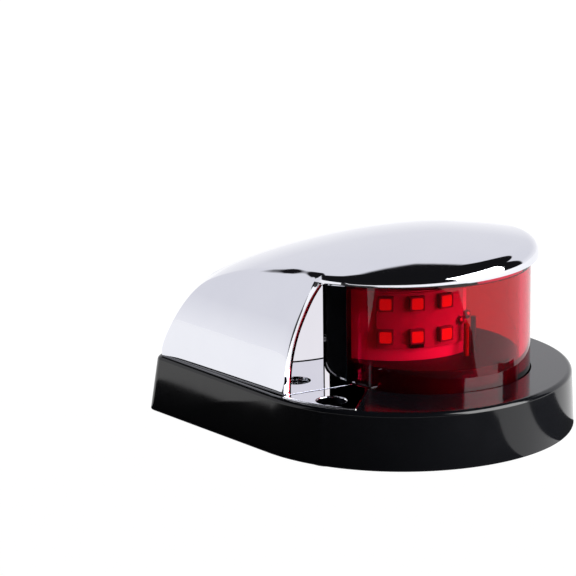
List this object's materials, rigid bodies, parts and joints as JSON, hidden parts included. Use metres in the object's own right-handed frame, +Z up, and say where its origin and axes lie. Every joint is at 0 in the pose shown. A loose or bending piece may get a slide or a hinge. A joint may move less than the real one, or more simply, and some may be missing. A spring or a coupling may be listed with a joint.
{
  "type": "navigation light",
  "caption": "Teardrop deck-mount LED navigation side light with a black plinth, chrome visor hood and red lens drum.",
  "frame": {"origin": "centre of the underside's bounding box, on the deck plane", "axes": "+Z up from the deck, +X from the pointed tail to the round nose, the light board faces the -Y side"},
  "size_m": [0.105, 0.0834, 0.0478],
  "materials": {
    "chrome": "mirror",
    "black_abs": "gloss",
    "black_matte": "matte",
    "red_lens": "gloss",
    "rubber": "matte",
    "foam": "matte",
    "white_plastic": "satin",
    "board": "satin",
    "phosphor": "satin",
    "solder": "satin",
    "steel": "satin",
    "brass": "satin",
    "wire_red": "satin",
    "wire_black": "satin"
  },
  "bodies": {
    "root": {"base": "black_abs", "base_gasket": "foam", "foot_plate_left": "chrome", "foot_plate_right": "chrome", "hood": "chrome", "hood_screws": "steel", "hood_inserts": "brass", "lens": "red_lens", "lens_top_seal": "rubber", "lens_flange_seal": "rubber", "lens_clamp_ring": "black_matte", "clamp_screws": "steel", "pedestal": "black_matte", "led_carrier": "white_plastic", "carrier_screws": "steel", "circuit_board": "board", "led_packages": "white_plastic", "led_windows": "phosphor", "board_resistor": "black_matte", "solder_joints": "solder", "lead_red": "wire_red", "lead_black": "wire_black", "light_shield": "black_matte", "cable_grommet": "rubber"}
  },
  "joints": []
}
